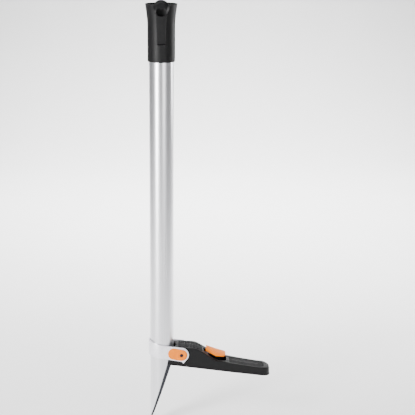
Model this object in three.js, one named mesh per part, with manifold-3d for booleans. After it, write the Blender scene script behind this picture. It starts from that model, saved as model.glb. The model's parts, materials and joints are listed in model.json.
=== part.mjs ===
// Drop-through bulb planter: a long tube with a funnel grip on top, a slanted
// cutting end closed by a hinged jaw, and a foot pedal that carries the jaw.
// Millimetres. Sizes are measured from the cutting tip, on the tube's axis:
// +X towards the pedal's tail, +Z up, -Y on the side of the hanging eye.
import * as THREE from 'three';
import { mergeVertices } from 'three/addons/utils/BufferGeometryUtils.js';
import Module from 'manifold-3d';

const wasm = await Module();
wasm.setup();

// ---- driving dimensions ----
const gap = 0.3; // between pieces that touch
const tubeRadius = 30;
const tubeWall = 1.8;
const boreRadius = tubeRadius - tubeWall;
const tubeTop = 1026;
const hangHeight = 1052; // height at which the eye bears on its hook

const tipLand = 0.4; // flat left on the cutting tip
const cutSlope = 3.45; // rise of the slanted cut for each mm across
const cutTop = 166; // the cut ends there in a level shoulder

const gripBottom = 921;
const gripRadius = 33.6;
const rimHeight = 1060;
const rimRadius = 39.25;
const funnelRadius = 36.6;

const eye = { height: 1053, base: 19.5, face: 13.5, front: 46.5, root: 33 };
const eyeHole = { height: 1043.2, across: 11.7, up: 8.8 };
const panel = { low: 963, high: 1040, lowHalf: 9.5, highHalf: 12.7, proud: 0.8 };

const pivot = { x: 50, z: 176 };
const strapWall = 4;
const strapInner = tubeRadius + gap;
const strapOuter = strapInner + strapWall;
const earRadius = 18.5;
const pinRadius = 4;
const sleeveRadius = 6.5;
const headRadius = 6.5;

const coverRise = 2.5;
const cover = { x: 30.3, z: 179.5, half: 13.6, bossRadius: 12.2, bossRise: 1.1, hole: 4.6 };

const pedalHalf = 29;
const tailHalf = 27;
const tailEnd = 277;
const tailCorner = 21;
const shellWall = 2.6;
const baseThick = 2.8;
const seam = 0.6; // groove between shell and base
const pedalFront = 35; // radius of the hollow front face, round the tube

const padHalf = 24;
const tailPadHalf = 21;
const padThick = 1.5;
const ribPitch = 9;
const ribHeight = 1.1;

const jawThick = 2;
const jawGap = 0.5; // between the closed jaw and the cut edge
const jawTop = 156; // lengths along the cut, from the tip
const flangeTop = 9;
const flangeTip = 3.8;
const leverThick = 2.5;
const leverHalf = 23.5;

const lockSlope = 0.1264; // the lock slides on a line that falls towards the tail
const lockTravel = 5;
const openAngle = THREE.MathUtils.degToRad(18);
const quadrantRadius = 20;

const pedalScrews = [
  [84, 14], [84, -14], [186, 14], [186, -14], [240, 13], [240, -13],
];

// Outline of the pedal's crown, seen from the side, from the tube to the tail.
const crownPoints = [
  [33, 193.2], [50, 194], [66, 193.4], [86, 191], [109, 178.5], [126, 166.3], [143, 158],
  [158, 155.6], [187, 149.1], [238, 140.2], [262, 137.2], [279, 133.5],
];
// Underside of the pedal, and the same sloping line carried on to the tail.
const soleSlope = -0.131;
const solePoints = [[19.2, 148.2], [53, 146.9], [74, 140.6], [281, 140.6 + soleSlope * 207]];

// ---- materials ----
function finish(color, roughness, metalness) {
  return new THREE.MeshStandardMaterial({ color, roughness, metalness });
}
const anodised = () => finish('#d9dadd', 0.42, 1);
const stampedSteel = () => finish('#dcdbe2', 0.4, 0.6);
const blackNylon = () => finish('#2b2c2f', 0.5, 0);
const orangeNylon = () => finish('#f08a24', 0.45, 0);
const treadRubber = () => finish('#35363a', 0.8, 0);
const bareSteel = () => finish('#8f9094', 0.4, 1);
const darkSteel = () => finish('#3a3a3d', 0.45, 1);
const bearingNylon = () => finish('#d8d4c8', 0.6, 0);

// ---- shape helpers ----
// A closed geometry as a solid, its faces turned outwards and its poles free of slivers.
function solidOf(geometry) {
  const bare = geometry.clone();
  bare.deleteAttribute('normal');
  bare.deleteAttribute('uv');
  const merged = mergeVertices(bare, 1e-4);
  const places = merged.attributes.position;
  const index = merged.index.array;
  const corners = [];
  const [a, b, c] = [new THREE.Vector3(), new THREE.Vector3(), new THREE.Vector3()];
  let volume = 0;
  for (let i = 0; i < index.length; i += 3) {
    const [p, q, r] = [index[i], index[i + 1], index[i + 2]];
    if (p === q || q === r || r === p) continue;
    corners.push(p, q, r);
    a.fromBufferAttribute(places, p);
    b.fromBufferAttribute(places, q);
    c.fromBufferAttribute(places, r);
    volume += a.dot(b.cross(c));
  }
  if (volume < 0) corners.reverse();
  const triVerts = Uint32Array.from(corners);
  return new wasm.Manifold(new wasm.Mesh({ numProp: 3, vertProperties: places.array, triVerts }));
}

function geometryOf(solid) {
  const mesh = solid.getMesh();
  const geometry = new THREE.BufferGeometry();
  geometry.setAttribute('position', new THREE.BufferAttribute(mesh.vertProperties, 3));
  geometry.setIndex(new THREE.BufferAttribute(mesh.triVerts, 1));
  return geometry;
}

function outline(points) {
  return new THREE.Shape(points.map(([x, y]) => new THREE.Vector2(x, y)));
}

// A shape in X and Y, carried up from one height to another.
function pillar(shape, low, high, curveSegments = 12) {
  const options = { depth: high - low, bevelEnabled: false, curveSegments };
  return solidOf(new THREE.ExtrudeGeometry(shape, options).translate(0, 0, low));
}

// A shape in X and Z, carried along Y.
function slab(shape, near, far, curveSegments = 12) {
  const options = { depth: far - near, bevelEnabled: false, curveSegments };
  return solidOf(new THREE.ExtrudeGeometry(shape, options).rotateX(Math.PI / 2).translate(0, far, 0));
}

// A profile of [radius, height] turned about the tube's axis.
function turned(profile, segments = 56) {
  const points = profile.map(([r, z]) => new THREE.Vector2(r, z));
  return solidOf(new THREE.LatheGeometry(points, segments).rotateX(Math.PI / 2));
}

// A profile of [radius, y] turned about a line along Y through x, z.
function turnedAcross(profile, x, z, segments = 20) {
  const points = profile.map(([r, y]) => new THREE.Vector2(r, y));
  return solidOf(new THREE.LatheGeometry(points, segments).translate(x, 0, z));
}

function ringAcross(inner, outer, near, far, x, z) {
  return turnedAcross([[inner, near], [outer, near], [outer, far], [inner, far], [inner, near]], x, z);
}

function rodAcross(radius, near, far, x, z, segments = 20) {
  return turnedAcross([[0, near], [radius, near], [radius, far], [0, far]], x, z, segments);
}

function upright(radius, low, high, x, y, segments = 12) {
  const height = high - low;
  const geometry = new THREE.CylinderGeometry(radius, radius, height, segments).rotateX(Math.PI / 2);
  return solidOf(geometry.translate(x, y, (low + high) / 2));
}

function box(x0, x1, y0, y1, z0, z1) {
  const geometry = new THREE.BoxGeometry(x1 - x0, y1 - y0, z1 - z0);
  return solidOf(geometry.translate((x0 + x1) / 2, (y0 + y1) / 2, (z0 + z1) / 2));
}

function joined(solids) {
  return solids.reduce((sum, next) => sum.add(next));
}

const planter = new THREE.Group();
const tool = new THREE.Group();
tool.position.z = -hangHeight;
planter.add(tool);

function piece(name, solid, material, parent = tool) {
  const mesh = new THREE.Mesh(geometryOf(solid), material);
  mesh.name = name;
  parent.add(mesh);
}

// ---- tube ----
// Place on the cut: a length up the slope from the tip and a distance out of it, as x and z.
const cutLength = Math.hypot(1, cutSlope);
function onCut(along, out) {
  const x = -tubeRadius + tipLand + (along + out * cutSlope) / cutLength;
  const z = (along * cutSlope - out) / cutLength;
  return [x, z];
}

const rivetHeights = [181, 200];
const rivetRadius = 3;
const gripScrewHeight = 945;

function rodAlongX(radius, low, high, z, segments = 16) {
  const geometry = new THREE.CylinderGeometry(radius, radius, high - low, segments).rotateZ(Math.PI / 2);
  return solidOf(geometry.translate((low + high) / 2, 0, z));
}

function makeTube() {
  const wall = turned([
    [boreRadius, 0], [tubeRadius, 0], [tubeRadius, tubeTop], [boreRadius, tubeTop], [boreRadius, 0],
  ]);
  const shoulder = onCut(cutTop * cutLength / cutSlope, 0);
  const below = onCut(-20, 0);
  const cutAway = slab(outline([below, shoulder, [60, cutTop], [60, below[1]]]), -40, 40);
  const holes = joined([
    ...rivetHeights.map((z) => rodAlongX(rivetRadius + gap, -40, -20, z)),
    rodAcross(2.3 + gap, 20, 40, 0, gripScrewHeight),
  ]);
  return wall.subtract(cutAway).subtract(holes);
}
piece('tube', makeTube(), anodised());

// ---- grip and hanging eye ----
// The flare's outside, from the straight part to the rim, standing off by a given amount.
function flareProfile(proud) {
  return [
    [gripRadius + proud, 1008], [gripRadius + 0.35 + proud, 1018], [gripRadius + 1.9 + proud, 1032],
    [gripRadius + 3.7 + proud, 1046], [rimRadius + proud, rimHeight],
  ];
}

const funnelInside = [
  [0, tubeTop + 0.3], [28.4, tubeTop + 0.3], [28.4, tubeTop + 3], [32.2, 1044],
  [funnelRadius, rimHeight - 1], [funnelRadius, rimHeight + 30], [0, rimHeight + 30],
];

function eyeBoss(grow) {
  return turnedAcross([
    [0, -eye.root + grow], [eye.base + grow, -eye.root + grow], [eye.base + grow, -36],
    [eye.face + grow, -eye.front - grow], [0, -eye.front - grow],
  ], 0, eye.height, 40);
}

function eyeOpening(grow) {
  const shape = new THREE.Shape();
  shape.absellipse(0, eyeHole.height, eyeHole.across + grow, eyeHole.up + grow, 0, 2 * Math.PI);
  return slab(shape, -60, -20);
}

function panelWedge(grow) {
  const [low, high] = [panel.lowHalf + grow, panel.highHalf + grow];
  const shape = outline([
    [-low, panel.low - grow], [low, panel.low - grow], [high, panel.high], [-high, panel.high],
  ]);
  return slab(shape, -60, -20);
}

function makeGrip() {
  const body = turned([
    [tubeRadius + gap, gripBottom], [gripRadius - 2.2, gripBottom], [gripRadius - 0.6, gripBottom + 0.9],
    [gripRadius, gripBottom + 2.6], ...flareProfile(0), [rimRadius - 0.5, rimHeight + 0.5],
    [rimRadius - 1.6, rimHeight + 0.5], [funnelRadius, rimHeight - 1], [32.2, 1044],
    [28.4, tubeTop + 3], [28.4, tubeTop + 0.3], [tubeRadius + gap, tubeTop + 0.3],
    [tubeRadius + gap, gripBottom],
  ]);
  const panelSeat = turned([[31.6, 950], [60, 950], [60, panel.high], [31.6, panel.high], [31.6, 950]]);
  return body
    .subtract(panelSeat.intersect(panelWedge(gap)))
    .subtract(eyeBoss(gap))
    .subtract(eyeOpening(0))
    .subtract(rodAcross(4 + gap, 32, 40, 0, gripScrewHeight))
    .subtract(rodAcross(2.3 + gap, 20, 40, 0, gripScrewHeight));
}
piece('grip', makeGrip(), blackNylon());

function makeHangEye() {
  const skin = turned([
    [32, 950], [gripRadius + panel.proud, 950], ...flareProfile(panel.proud), [32, rimHeight], [32, 950],
  ]);
  const strip = skin.intersect(panelWedge(0));
  return strip.add(eyeBoss(0)).subtract(eyeOpening(0)).subtract(turned(funnelInside));
}
piece('hang_eye', makeHangEye(), blackNylon());

const gripScrew = turnedAcross([
  [0, 28.6], [2.3, 28.6], [2.3, 32.3], [4, 32.3], [4, 33.5], [1.6, 33.5], [1.6, 32.5], [0, 32.5],
], 0, gripScrewHeight, 12);
piece('grip_screw', gripScrew, darkSteel());

// ---- collar strap ----
function strapPlan() {
  const shape = new THREE.Shape();
  shape.moveTo(80, -strapOuter);
  shape.lineTo(0, -strapOuter);
  shape.absarc(0, 0, strapOuter, -Math.PI / 2, Math.PI / 2, true);
  shape.lineTo(80, strapOuter);
  shape.lineTo(80, strapInner);
  shape.lineTo(0, strapInner);
  shape.absarc(0, 0, strapInner, Math.PI / 2, -Math.PI / 2, false);
  shape.lineTo(80, -strapInner);
  return shape;
}

// The strap seen from the side: deep behind the tube, falling to round ears at the pivot,
// each with a small pointed stop below it.
function strapSide() {
  const shape = new THREE.Shape();
  shape.moveTo(-36, 171.2);
  shape.lineTo(0, 166);
  shape.lineTo(18, 163.2);
  shape.lineTo(48.5, 158.2);
  shape.lineTo(51.5, 157.4);
  shape.lineTo(54.6, 152.6);
  shape.lineTo(57, 158.9);
  shape.absarc(pivot.x, pivot.z, earRadius, -1.18, 1.62, false);
  shape.lineTo(20, 198.4);
  shape.lineTo(0, 202);
  shape.lineTo(-18, 206.4);
  shape.lineTo(-36, 211.2);
  return shape;
}

function makeStrap() {
  const band = pillar(strapPlan(), 140, 230, 22).intersect(slab(strapSide(), -40, 40));
  const pinHole = rodAcross(pinRadius + gap, -40, 40, pivot.x, pivot.z);
  const rivetHoles = rivetHeights.map((z) => rodAlongX(rivetRadius + gap, -40, -20, z));
  return band.subtract(joined([pinHole, ...rivetHoles]));
}
piece('collar_strap', makeStrap(), stampedSteel());

rivetHeights.forEach((z, i) => {
  piece(`strap_rivet_${i + 1}`, rodAlongX(rivetRadius, -strapOuter + 0.2, -boreRadius - 0.2, z), bareSteel());
});

// ---- pivot ----
const earFace = strapOuter + gap; // where the heads and covers sit on the strap
const headThick = 1.8;

function makePivotPin() {
  const barrel = turnedAcross([
    [2.8, -28], [pinRadius, -28], [pinRadius, earFace], [headRadius, earFace],
    [headRadius, earFace + headThick], [0, earFace + headThick], [0, 2], [2.8, 2], [2.8, -28],
  ], pivot.x, pivot.z);
  const slot = box(pivot.x - 8, pivot.x + 8, earFace + headThick - 0.9, 60, pivot.z - 0.7, pivot.z + 0.7);
  return barrel.subtract(slot);
}
piece('pivot_pin', makePivotPin(), darkSteel());

function makePivotBolt() {
  const near = -earFace - headThick;
  const bolt = turnedAcross([
    [0, near], [headRadius, near], [headRadius, -earFace], [pinRadius, -earFace],
    [pinRadius, -28 - gap], [2.5, -28 - gap], [2.5, 0], [0, 0],
  ], pivot.x, pivot.z);
  const socket = rodAcross(2.6, near - 1, near + 1.2, pivot.x, pivot.z, 6);
  return bolt.subtract(socket);
}
piece('pivot_bolt', makePivotBolt(), darkSteel());

const sleeve = ringAcross(pinRadius + gap, sleeveRadius, -30, 30, pivot.x, pivot.z);
piece('pivot_sleeve', sleeve, bareSteel());

// A cover is a flat slot-ended cap over the ear with a round boss about the bolt.
function makeCover(side) {
  const shape = new THREE.Shape();
  const lean = Math.atan2(cover.z - pivot.z, pivot.x - cover.x);
  shape.absarc(pivot.x, pivot.z, cover.half, -Math.PI / 2 - lean, Math.PI / 2 - lean, false);
  shape.absarc(cover.x, cover.z, cover.half, Math.PI / 2 - lean, 1.5 * Math.PI - lean, false);
  const [low, high] = [earFace, earFace + coverRise];
  const top = high + cover.bossRise;
  const plate = side < 0 ? slab(shape, -high, -low) : slab(shape, low, high);
  const boss = turnedAcross([
    [0, side * low], [cover.bossRadius, side * low], [cover.bossRadius, side * high],
    [cover.bossRadius - 1, side * top], [0, side * top],
  ], pivot.x, pivot.z, 28);
  const pocket = rodAcross(headRadius + 0.4, side * 30, side * (earFace + headThick + gap), pivot.x, pivot.z);
  const bore = rodAcross(cover.hole, side * 30, side * 60, pivot.x, pivot.z);
  return plate.add(boss).subtract(pocket).subtract(bore);
}
piece('pivot_cover_near', makeCover(-1), orangeNylon());
piece('pivot_cover_far', makeCover(1), orangeNylon());

// The quadrant has one notch for the closed jaw and one for the open jaw.
function makeQuadrant() {
  const shape = new THREE.Shape();
  shape.absarc(pivot.x, pivot.z, quadrantRadius, -0.42, 0.5, false);
  shape.lineTo(pivot.x, pivot.z);
  const plate = slab(shape, -2, 2).add(rodAcross(10, -4, 4, pivot.x, pivot.z));
  const notch = (angle) => {
    const geometry = new THREE.BoxGeometry(10, 20, 3.6).translate(quadrantRadius + 0.4, 0, 0);
    return solidOf(geometry.rotateY(angle).translate(pivot.x, 0, pivot.z));
  };
  const bore = rodAcross(sleeveRadius + gap, -9, 9, pivot.x, pivot.z);
  return plate.subtract(notch(lockSlope)).subtract(notch(lockSlope - openAngle)).subtract(bore);
}
piece('lock_quadrant', makeQuadrant(), darkSteel());

// ---- pedal ----
const crown = new THREE.SplineCurve(crownPoints.map(([x, z]) => new THREE.Vector2(x, z))).getPoints(44);

function crownHeight(x) {
  const next = crown.findIndex((point) => point.x > x);
  const [a, b] = [crown[next - 1], crown[next]];
  return a.y + (b.y - a.y) * (x - a.x) / (b.x - a.x);
}

function soleHeight(x) {
  const next = solePoints.findIndex((point) => point[0] > x);
  const [a, b] = [solePoints[next - 1], solePoints[next]];
  return a[1] + (b[1] - a[1]) * (x - a[0]) / (b[0] - a[0]);
}

// The pedal from above: parallel sides, a slight taper and a round-cornered tail.
function pedalPlan(grow, front) {
  const [half, tail] = [pedalHalf + grow, tailHalf + grow];
  const corner = tailCorner + grow;
  const [cx, cy] = [tailEnd + grow - corner, tail - corner];
  const shape = new THREE.Shape();
  shape.moveTo(front, -half);
  shape.lineTo(185, -half);
  shape.absarc(cx, -cy, corner, -Math.PI / 2, 0, false);
  shape.absarc(cx, cy, corner, 0, Math.PI / 2, false);
  shape.lineTo(185, half);
  shape.lineTo(front, half);
  return shape;
}

// The pedal from the side, drawn in by a wall: crown above, sole below, slanted nose in front.
function shellSide(wall, low) {
  const noseFoot = onCut(148 * cutLength / cutSlope, jawThick + jawGap + gap);
  const noseTop = onCut(164.6 * cutLength / cutSlope, jawThick + jawGap + gap);
  const top = crown.map((point) => [point.x, point.y - wall]);
  const sole = solePoints.map(([x, z]) => [x, z + low]).reverse();
  sole[sole.length - 1] = [noseFoot[0] + wall, sole.at(-1)[1]];
  return outline([[noseTop[0] + wall, noseTop[1] - wall], [noseTop[0] + wall, noseTop[1] + 20],
    ...top, ...sole]);
}

const buttonPlan = [[114, 7], [138, 18], [156, 18], [162, 12]];
function mirroredPlan(points) {
  return [...points.map(([x, y]) => [x, -y]), ...[...points].reverse()];
}

// Evenly spaced places from one x to another.
function spread(from, to, count) {
  return Array.from({ length: count + 1 }, (_, i) => THREE.MathUtils.lerp(from, to, i / count));
}

function padRecess(pad, half) {
  const low = spread(pad.from, pad.to, 14).map((x) => [x, crownHeight(x) - padThick]);
  return slab(outline([...low, [pad.to, 215], [pad.from, 215]]), -half, half);
}

const frontPad = { from: 42, to: 105 };
const tailPad = { from: 173, to: 262 };

function makeShell() {
  const skin = slab(shellSide(0, baseThick + seam), -40, 40)
    .intersect(pillar(pedalPlan(0, 5), 90, 220, 10));
  const hollow = slab(shellSide(shellWall, -20), -40, 40)
    .intersect(pillar(pedalPlan(-shellWall, 5), 90, 220, 10));
  const tubeRoom = turned([[0, 165], [pedalFront, 165], [pedalFront, 230], [0, 230]]);
  const innerRoom = turned([[0, 100], [pedalFront + shellWall, 100], [pedalFront + shellWall, 230], [0, 230]]);
  const leverWay = box(0, 60, -leverHalf - 0.8, leverHalf + 0.8, 130, 164.9);
  const pocket = pillar(outline(mirroredPlan([[108.4, 8], [132, 19], [156.8, 19], [163, 12.6]])), 145, 200);
  const bosses = joined(pedalScrews.map(([x, y]) => {
    const foot = soleHeight(x) + (x < 200 ? 8.8 : baseThick + seam + 1);
    return upright(4.5, foot, crownHeight(x) - 2, x, y);
  }));
  const threads = joined(pedalScrews.map(([x, y]) => upright(2.1, 100, crownHeight(x) - 4, x, y, 8)));
  return skin.subtract(hollow.subtract(innerRoom))
    .add(bosses)
    .subtract(tubeRoom)
    .subtract(leverWay)
    .subtract(pocket)
    .subtract(padRecess(frontPad, padHalf + gap))
    .subtract(padRecess(tailPad, tailPadHalf + gap))
    .subtract(threads)
    .subtract(rodAcross(9.3, -40, 40, pivot.x, pivot.z));
}
piece('pedal_shell', makeShell(), blackNylon());

// A mat lying in its recess, its top standing off the crown by an amount that varies along it.
function makePad(pad, half, count, rise) {
  const along = spread(pad.from + gap, pad.to - gap, count);
  const top = along.map((x) => [x, crownHeight(x) + rise(x)]);
  const bottom = along.map((x) => [x, crownHeight(x) - padThick + gap]).reverse();
  return slab(outline([...top, ...bottom]), -half, half);
}

function ribRise(x) {
  const phase = ((x - frontPad.from) % ribPitch) / ribPitch;
  const ramp = THREE.MathUtils.clamp((0.5 - Math.abs(phase - 0.5)) * 6 - 1, 0, 1);
  return ramp * ribHeight - 0.3;
}
piece('tread_pad', makePad(frontPad, padHalf, 60, ribRise), treadRubber());
piece('tail_pad', makePad(tailPad, tailPadHalf, 8, () => 0.2), treadRubber());

function makeBase() {
  const lip = (x0, x1, low, high) => {
    const along = [[x0, soleHeight(x0)], ...solePoints.filter(([x]) => x > x0 && x < x1), [x1, soleHeight(x1)]];
    return outline([...along.map(([x, z]) => [x, z + low]), ...along.reverse().map(([x, z]) => [x, z + high])]);
  };
  const plate = slab(lip(19.3, 280.5, 0, baseThick), -40, 40).intersect(pillar(pedalPlan(1, 5), 90, 220, 10));
  const rim = slab(lip(60, 280, 1, 7), -40, 40)
    .intersect(pillar(pedalPlan(-shellWall - gap, 60), 90, 220, 10)
      .subtract(pillar(pedalPlan(-shellWall - gap - 1.6, 50), 80, 230, 10)));
  const noseSlot = box(0, 36, -leverHalf - 0.8, leverHalf + 0.8, 130, 160);
  const holes = pedalScrews.map(([x, y]) => upright(2.6, 100, 200, x, y));
  const sinks = pedalScrews.map(([x, y]) => upright(4.6, 90, soleHeight(x) + 1.8, x, y));
  return plate.add(rim).subtract(noseSlot).subtract(joined([...holes, ...sinks]));
}
piece('base_plate', makeBase(), blackNylon());

function makeScrew([x, y]) {
  const seat = soleHeight(x) + 1.8;
  const head = upright(4.2, seat - 1.5, seat - 0.1 - gap, x, y).add(upright(1.7, seat - 1, seat + 12, x, y, 8));
  const cross = box(x - 2, x + 2, y - 0.4, y + 0.4, seat - 3, seat - 0.9)
    .add(box(x - 0.4, x + 0.4, y - 2, y + 2, seat - 3, seat - 0.9));
  return head.subtract(cross);
}
pedalScrews.forEach((place, i) => piece(`base_screw_${i + 1}`, makeScrew(place), darkSteel()));

// ---- jaw ----
// Half-width of the tube where the slanted cut crosses it, a given length up from the tip.
function cutHalf(along) {
  const [x] = onCut(along, 0);
  return Math.sqrt(Math.max(tubeRadius ** 2 - x ** 2, 0));
}

// Local frame of the cut: X up the slope, Y across, Z out of the tube.
function ontoCut(geometry) {
  const [x, z] = onCut(0, 0);
  const slope = new THREE.Vector3(1, 0, cutSlope).normalize();
  const across = new THREE.Vector3(0, -1, 0);
  const out = new THREE.Vector3().crossVectors(slope, across);
  const matrix = new THREE.Matrix4().makeBasis(slope, across, out).setPosition(x, 0, z);
  return geometry.applyMatrix4(matrix);
}

function jawOutline(inset, top) {
  const side = [];
  const steps = 22;
  for (let i = 0; i <= steps; i += 1) {
    const along = top * (1 - Math.cos(Math.PI * i / steps / 2));
    side.push([along + inset * (1 - i / steps) + 0.6, Math.max(cutHalf(along + 0.6) + 0.2 - inset, 0.8)]);
  }
  return outline(mirroredPlan(side));
}

function cutPillar(shape, low, high) {
  const options = { depth: high - low, bevelEnabled: false };
  return solidOf(ontoCut(new THREE.ExtrudeGeometry(shape, options).translate(0, 0, low)));
}

const jawRivets = [[112, 12], [112, -12], [143, 12], [143, -12]];
function cutPin(radius, along, across, low, high) {
  const geometry = new THREE.CylinderGeometry(radius, radius, high - low, 12).rotateX(Math.PI / 2);
  return solidOf(ontoCut(geometry.translate(along, across, (low + high) / 2)));
}

function makeJaw() {
  const tray = cutPillar(jawOutline(0, jawTop), jawGap, jawGap + flangeTop)
    .subtract(cutPillar(jawOutline(jawThick, jawTop + 12), jawGap + jawThick, 40));
  const taper = solidOf(ontoCut(new THREE.ExtrudeGeometry(outline([
    [-30, jawGap + flangeTip - 1], [jawTop + 10, jawGap + flangeTop], [jawTop + 10, 60], [-30, 60],
  ]), { depth: 90, bevelEnabled: false }).rotateX(Math.PI / 2).translate(0, 45, 0)));
  const holes = jawRivets.map(([along, across]) => cutPin(2.5 + gap, along, across, -5, 20));
  const underNose = box(17, 60, -40, 40, 147.6, 200);
  return tray.subtract(taper).subtract(underNose).subtract(joined(holes));
}
piece('jaw_plate', makeJaw(), bareSteel());

// Pressed steel lever: a web on the back of the jaw, two cheeks round the pivot and a beam to the tail.
function makeLever() {
  const webOut = jawGap + jawThick + gap;
  const cheek = new THREE.Shape();
  cheek.moveTo(...onCut(100, webOut));
  cheek.lineTo(...onCut(100, webOut + 4));
  cheek.lineTo(...onCut(140, webOut + 5.5));
  cheek.lineTo(26, 152.5);
  cheek.lineTo(56, 151.2);
  cheek.lineTo(74, soleHeight(74) + 5);
  cheek.lineTo(200, soleHeight(200) + 5);
  cheek.lineTo(200, soleHeight(200) + 15);
  cheek.lineTo(72, 161);
  cheek.absarc(pivot.x, pivot.z, 14, -0.35, Math.PI * 0.72, false);
  cheek.lineTo(32.3, 180);
  cheek.lineTo(32.3, 164.2);
  cheek.lineTo(24, 164.2);
  cheek.lineTo(...onCut(166, webOut));
  const web = outline([onCut(100, webOut), onCut(100, webOut + leverThick),
    onCut(166, webOut + leverThick), onCut(166, webOut)]);
  const floor = outline([[74, soleHeight(74) + 5], [200, soleHeight(200) + 5],
    [200, soleHeight(200) + 5 + leverThick], [74, soleHeight(74) + 5 + leverThick]]);
  const solid = joined([
    slab(cheek, -leverHalf, -leverHalf + leverThick),
    slab(cheek, leverHalf - leverThick, leverHalf),
    slab(web, -leverHalf, leverHalf),
    slab(floor, -leverHalf, leverHalf),
  ]);
  const holes = [
    rodAcross(9.3, -40, 40, pivot.x, pivot.z),
    ...jawRivets.map(([along, across]) => cutPin(2.5 + gap, along, across, -5, 20)),
    ...pedalScrews.map(([x, y]) => upright(2.6, 100, 180, x, y)),
  ];
  return solid.subtract(joined(holes));
}
piece('jaw_lever', makeLever(), bareSteel());

function makeJawRivet([along, across]) {
  const headOut = jawGap + jawThick + gap + leverThick + gap;
  return cutPin(2.5, along, across, jawGap + 0.1, headOut + 1)
    .add(cutPin(4, along, across, headOut, headOut + 1.6));
}
jawRivets.forEach((place, i) => piece(`jaw_rivet_${i + 1}`, makeJawRivet(place), darkSteel()));

// A flanged bush turns on the sleeve in each cheek, its flange against the strap.
function makeBushing(side) {
  return turnedAcross([
    [sleeveRadius + gap, side * 20.4], [9, side * 20.4], [9, side * 29.3], [13, side * 29.3],
    [13, side * 30], [sleeveRadius + gap, side * 30], [sleeveRadius + gap, side * 20.4],
  ], pivot.x, pivot.z);
}
piece('bushing_near', makeBushing(-1), bearingNylon());
piece('bushing_far', makeBushing(1), bearingNylon());

// Torsion spring round the sleeve: one leg under the crown, one leg down on the lever.
function makeSpring() {
  const [turns, coil, start, pitch] = [4, 8.4, -17, 2.6];
  const points = [new THREE.Vector3(pivot.x - 15, start, pivot.z - coil)];
  points.push(new THREE.Vector3(pivot.x - 8, start, pivot.z - coil));
  const perTurn = 12;
  const steps = turns * perTurn;
  for (let i = 0; i <= steps; i += 1) {
    const angle = -Math.PI / 2 + 2 * Math.PI * i / perTurn;
    const y = start + pitch * i / perTurn;
    points.push(new THREE.Vector3(pivot.x + coil * Math.cos(angle), y, pivot.z + coil * Math.sin(angle)));
  }
  const end = start + pitch * turns;
  points.push(new THREE.Vector3(pivot.x + 8, end, pivot.z - coil));
  points.push(new THREE.Vector3(pivot.x + 18, end, pivot.z - coil - 1));
  const path = new THREE.CatmullRomCurve3(points);
  const wire = new THREE.Shape();
  wire.absarc(0, 0, 0.9, 0, 2 * Math.PI);
  const options = { steps: 60, extrudePath: path, curveSegments: 3, bevelEnabled: false };
  return solidOf(new THREE.ExtrudeGeometry(wire, options));
}
piece('return_spring', makeSpring(), bareSteel());

// ---- lock ----
// Everything here lies along the sliding line: X away from the pivot, Z square to it.
const lockLine = new THREE.Group();
lockLine.position.set(pivot.x, 0, pivot.z);
lockLine.rotation.y = lockSlope;
tool.add(lockLine);

const lockRest = quadrantRadius + 1; // the bolt's nose when unlocked
const boltHalf = 6;
const boltThick = 3;

function lockBar(points, half) {
  return slab(outline(points), -half, half);
}

function makeGuide() {
  const block = box(38, 56, -9, 9, -20, 7);
  const way = box(30, 70, -boltHalf - 0.4, boltHalf + 0.4, -boltThick - 0.4, boltThick + 0.4);
  const window = box(44, 52, -4.5, 4.5, 0, 20);
  return block.subtract(way).subtract(window);
}
piece('lock_guide', makeGuide(), bearingNylon(), lockLine);

const detentLeaf = lockBar([
  [39, 7.3], [45.4, 7.3], [48, boltThick + 0.4], [50.6, 7.3], [55, 7.3],
  [55, 8.1], [50, 8.1], [48, boltThick + 1.9], [46, 8.1], [39, 8.1],
], 4);
piece('lock_detent', detentLeaf, bareSteel(), lockLine);

function makeLockBolt() {
  const bar = box(lockRest + 6, 98, -boltHalf, boltHalf, -boltThick, boltThick);
  const nose = box(lockRest, lockRest + 7, -boltHalf, boltHalf, -1.4, 1.4);
  const dent = (x) => lockBar([[x - 1.6, boltThick + 1], [x, boltThick - 1], [x + 1.6, boltThick + 1]], 4.4);
  const hole = upright(1.9, -20, 20, 88, 0);
  return bar.add(nose).subtract(dent(48)).subtract(dent(48 + lockTravel)).subtract(hole);
}
piece('lock_bolt', makeLockBolt(), darkSteel(), lockLine);

// The button: six-sided from above, its top falling towards the tail, hollow below.
function makeButton() {
  const local = (points) => points.map(([x, y]) => [(x - pivot.x) * Math.cos(lockSlope) + 0.2, y]);
  const body = pillar(outline(mirroredPlan(local(buttonPlan))), -12, 30);
  const inside = pillar(outline(mirroredPlan(local([[118, 5.4], [139, 15.6], [155, 15.6], [159.4, 11]]))), -20, 30);
  const under = (drop) => lockBar([
    [50, 18.4 - drop], [66, 17.4 - drop], [88, 12.9 - drop], [107, 7.6 - drop], [114, 5.2 - drop], [114, -30], [50, -30],
  ], 30);
  const boss = upright(4.4, boltThick + gap, 14, 88, 0).intersect(under(1));
  const way = box(50, 98.4, -boltHalf - gap, boltHalf + gap, -boltThick - gap, boltThick + gap);
  return body.intersect(under(0))
    .subtract(inside.intersect(under(2.4)).subtract(boss))
    .subtract(way)
    .subtract(upright(1.4, -20, 10, 88, 0));
}
piece('lock_button', makeButton(), orangeNylon(), lockLine);

const lockScrew = upright(1.1, -boltThick - 0.5, 9, 88, 0)
  .add(upright(3.4, -boltThick - 2, -boltThick - gap, 88, 0));
piece('lock_screw', lockScrew, darkSteel(), lockLine);

export default planter;
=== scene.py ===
import json
import math

import bmesh
import bpy
import numpy as np
from mathutils import Matrix, Vector


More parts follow.
